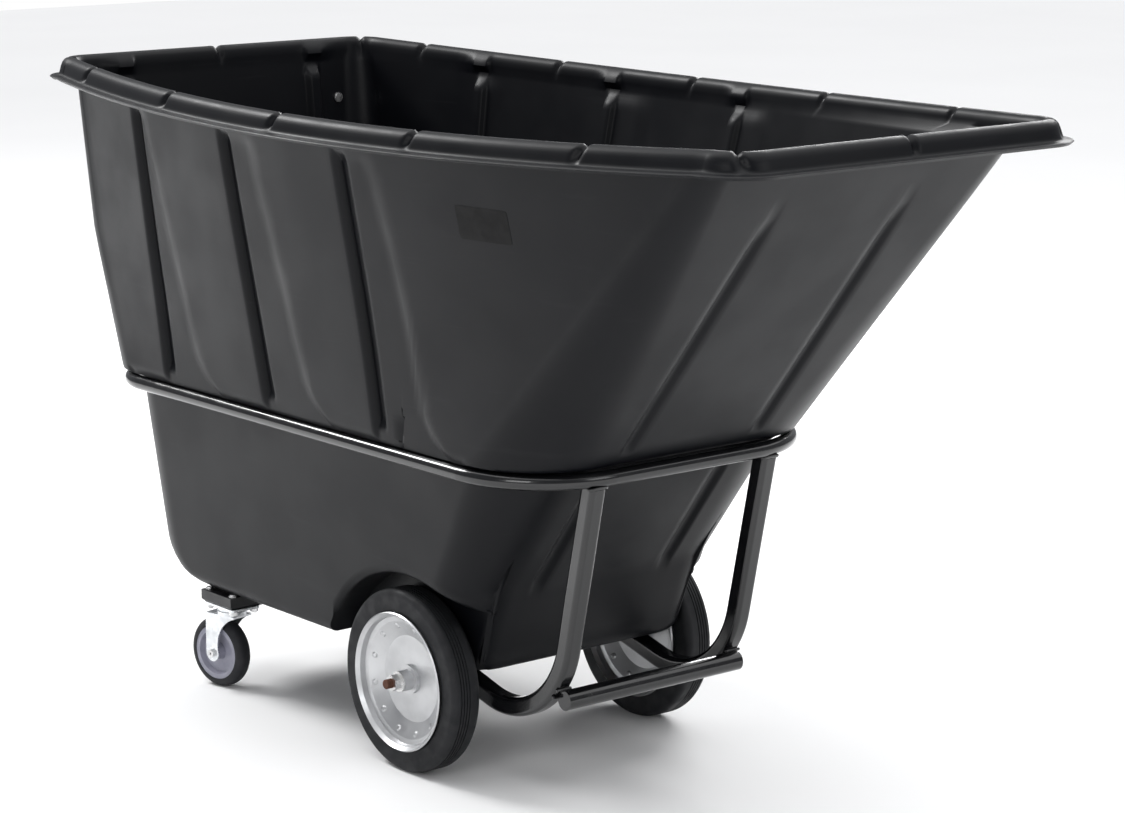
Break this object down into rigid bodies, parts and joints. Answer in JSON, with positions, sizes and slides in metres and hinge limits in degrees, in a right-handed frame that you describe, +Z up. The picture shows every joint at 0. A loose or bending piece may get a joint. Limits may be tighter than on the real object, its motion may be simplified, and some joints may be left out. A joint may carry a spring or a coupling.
{
  "type": "tilt truck",
  "caption": "Tilt truck: deep moulded tub with a sloped dump end on a steel tube frame, with large fixed wheels under the load and swivel casters at the push end.",
  "frame": {"origin": "on the floor under the middle of the overall length, in the truck's plane of symmetry", "axes": "+Z up, +X towards the sloped dump end, +Y to the left when facing +X"},
  "size_m": [1.859, 0.937, 1.104],
  "materials": {
    "tub_plastic": "moulded black polyethylene, fine satin texture",
    "label_plate": "flat dark film, blank",
    "frame_paint": "gloss black powder coat on steel",
    "block_paint": "satin black paint",
    "main_tyre": "dark grey cushion rubber",
    "wheel_zinc": "zinc-plated pressed steel",
    "bush_bronze": "oiled sintered bronze",
    "axle_steel": "plain steel bar, slightly rusted ends",
    "zinc_hardware": "bright zinc plate",
    "caster_zinc": "bright zinc plate on pressed steel",
    "caster_core_grey": "light grey moulded polyolefin",
    "caster_tread": "dark grey rubber"
  },
  "bodies": {
    "truck": {"tub": "tub_plastic", "blank_label": "label_plate", "rear_wall_bolts": "zinc_hardware", "hoop_tube": "frame_paint", "bumper_bar": "frame_paint", "bumper_caps": "frame_paint", "axle_beam": "frame_paint", "beam_bolts": "zinc_hardware", "beam_nuts": "zinc_hardware", "axle": "axle_steel", "axle_spacers": "zinc_hardware", "axle_washers": "zinc_hardware", "axle_nuts": "zinc_hardware", "leg_right": "frame_paint", "caster_block_right": "block_paint", "caster_plate_right": "caster_zinc", "caster_kingpin_right": "caster_zinc", "caster_bolts_right": "zinc_hardware", "caster_nuts_right": "zinc_hardware", "leg_left": "frame_paint", "caster_block_left": "block_paint", "caster_plate_left": "caster_zinc", "caster_kingpin_left": "caster_zinc", "caster_bolts_left": "zinc_hardware", "caster_nuts_left": "zinc_hardware"},
    "main_wheel_right": {"wheel_tyre_right": "main_tyre", "wheel_disc_outer_right": "wheel_zinc", "wheel_disc_inner_right": "wheel_zinc", "wheel_hub_right": "wheel_zinc", "wheel_bushes_right": "bush_bronze"},
    "caster_swivel_right": {"caster_fork_right": "caster_zinc", "caster_race_right": "caster_zinc", "caster_axle_right": "zinc_hardware", "caster_axle_nut_right": "zinc_hardware", "caster_sleeve_right": "caster_zinc"},
    "caster_wheel_right": {"caster_core_right": "caster_core_grey", "caster_tyre_right": "caster_tread"},
    "main_wheel_left": {"wheel_tyre_left": "main_tyre", "wheel_disc_outer_left": "wheel_zinc", "wheel_disc_inner_left": "wheel_zinc", "wheel_hub_left": "wheel_zinc", "wheel_bushes_left": "bush_bronze"},
    "caster_swivel_left": {"caster_fork_left": "caster_zinc", "caster_race_left": "caster_zinc", "caster_axle_left": "zinc_hardware", "caster_axle_nut_left": "zinc_hardware", "caster_sleeve_left": "caster_zinc"},
    "caster_wheel_left": {"caster_core_left": "caster_core_grey", "caster_tyre_left": "caster_tread"}
  },
  "joints": [
    {"name": "main_wheel_right_spin", "type": "hinge", "parent": "truck", "child": "main_wheel_right", "pos_m": [0.0325, -0.247, 0.1524], "axis": [0, 1, 0], "continuous": true},
    {"name": "caster_right_swivel", "type": "hinge", "parent": "truck", "child": "caster_swivel_right", "pos_m": [-0.538, -0.222, 0.14], "axis": [0, 0, 1], "continuous": true},
    {"name": "caster_right_spin", "type": "hinge", "parent": "caster_swivel_right", "child": "caster_wheel_right", "pos_m": [-0.56637, -0.22803, 0.0635], "axis": [-0.2079, 0.9781, 0], "continuous": true},
    {"name": "main_wheel_left_spin", "type": "hinge", "parent": "truck", "child": "main_wheel_left", "pos_m": [0.0325, 0.247, 0.1524], "axis": [0, 1, 0], "continuous": true},
    {"name": "caster_left_swivel", "type": "hinge", "parent": "truck", "child": "caster_swivel_left", "pos_m": [-0.538, 0.222, 0.14], "axis": [0, 0, 1], "continuous": true},
    {"name": "caster_left_spin", "type": "hinge", "parent": "caster_swivel_left", "child": "caster_wheel_left", "pos_m": [-0.56637, 0.21597, 0.0635], "axis": [-0.2079, 0.9781, 0], "continuous": true}
  ]
}
